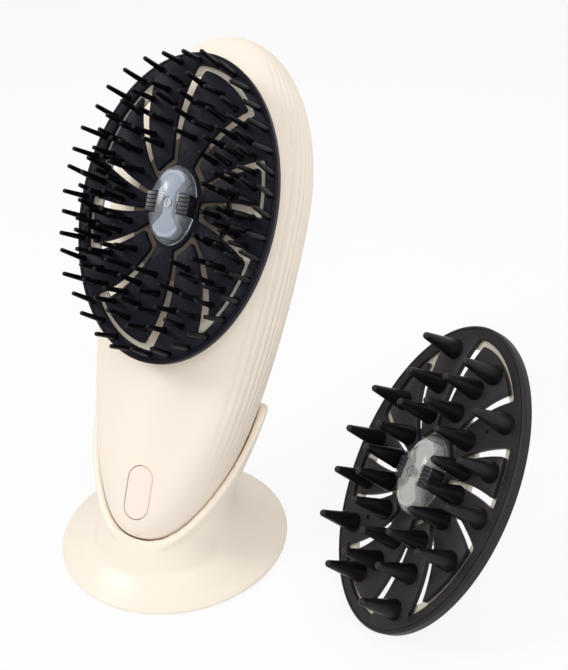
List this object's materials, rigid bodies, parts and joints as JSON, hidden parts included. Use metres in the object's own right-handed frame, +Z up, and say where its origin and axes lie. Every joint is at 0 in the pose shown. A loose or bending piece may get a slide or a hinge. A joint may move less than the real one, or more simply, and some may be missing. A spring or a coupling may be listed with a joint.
{
  "type": "electric scalp massager",
  "caption": "Cordless paddle-shaped scalp massager leaning back in a flared stand, with an oval brush head of fine pins fitted and a spare head of thick cones beside it.",
  "frame": {"origin": "centre of the stand's round underside, on the floor", "axes": "+Z up, -Y towards the side that the brush head faces, +X towards the spare head"},
  "size_m": [0.1791, 0.1423, 0.1842],
  "materials": {
    "cream_shell": "satin",
    "cream_inner": "matte",
    "button": "satin",
    "soft_black": "matte",
    "dark_steel": "brushed",
    "bright_steel": "polished",
    "brass": "satin",
    "winding": "gloss",
    "cell_sleeve": "satin",
    "circuit_board": "satin",
    "black_plastic": "matte",
    "blue_black": "satin",
    "slate": "gloss",
    "charcoal": "satin",
    "white_plastic": "gloss",
    "frosted_lens": "gloss",
    "warm_lens": "gloss"
  },
  "bodies": {
    "stand": {"stand_shell": "cream_shell", "base_cover": "cream_shell", "base_weight": "dark_steel", "foot_pad": "soft_black", "cover_screws": "bright_steel", "cup_bumper": "soft_black"},
    "massager": {"rear_shell": "cream_shell", "front_shell": "cream_shell", "head_mount": "black_plastic", "mount_screws": "bright_steel", "body_screws": "bright_steel", "motor_can": "dark_steel", "motor_coil": "winding", "motor_bearings": "brass", "shaft_seal": "soft_black", "battery_cell": "cell_sleeve", "control_board": "circuit_board", "board_screws": "bright_steel", "button_switch": "black_plastic", "charge_board": "circuit_board", "charge_port": "bright_steel"},
    "button": {"power_button": "button"},
    "drive": {"drive_shaft": "bright_steel", "rotor_magnet": "dark_steel"},
    "fine_head": {"fine_rim_plate": "blue_black", "fine_ledge_ring": "cream_inner", "fine_carrier": "cream_inner", "fine_carrier_screws": "bright_steel"},
    "fine_hub": {"fine_hub_plate": "blue_black", "fine_drive_bush": "brass", "fine_reflector": "white_plastic", "fine_fin_blocks": "slate", "fine_lens_cap": "frosted_lens", "fine_cap_screw": "bright_steel"},
    "cone_head": {"cone_rim_plate": "charcoal", "cone_ledge_ring": "cream_inner", "cone_carrier": "cream_inner", "cone_carrier_screws": "bright_steel"},
    "cone_hub": {"cone_hub_plate": "charcoal", "cone_drive_bush": "brass", "cone_reflector": "white_plastic", "cone_fin_blocks": "charcoal", "cone_lens_cap": "warm_lens", "cone_cap_screw": "bright_steel"}
  },
  "joints": [
    {"name": "massager_lift", "type": "slide", "parent": "stand", "child": "massager", "axis": [0, 0.5678, 0.8231], "range_m": [0, 0.075]},
    {"name": "power_button_press", "type": "slide", "parent": "massager", "child": "button", "axis": [0, 0.8231, -0.5678], "range_m": [0, 0.0008], "stiffness_N_per_m": 1500},
    {"name": "shaft_turn", "type": "hinge", "parent": "massager", "child": "drive", "pos_m": [0, 0.02656, 0.13094], "axis": [0, -0.8231, 0.5678], "range_deg": [-2, 2]},
    {"name": "fine_head_pull", "type": "slide", "parent": "massager", "child": "fine_head", "axis": [0, -0.8231, 0.5678], "range_m": [0, 0.02]},
    {"name": "fine_hub_turn", "type": "hinge", "parent": "fine_head", "child": "fine_hub", "pos_m": [0, 0.02656, 0.13094], "axis": [0, -0.8231, 0.5678], "range_deg": [-2, 2]},
    {"name": "cone_head_lift", "type": "slide", "parent": "stand", "child": "cone_head", "axis": [0, 0, 1], "range_m": [0, 0.05]},
    {"name": "cone_hub_turn", "type": "hinge", "parent": "cone_head", "child": "cone_hub", "pos_m": [0.0992, 0.0062, 0.04728], "axis": [-0.5716, -0.5637, 0.5962], "range_deg": [-2, 2]}
  ],
  "couplings": [
    {"joint": "fine_hub_turn", "follows": "shaft_turn", "ratio": 1}
  ]
}
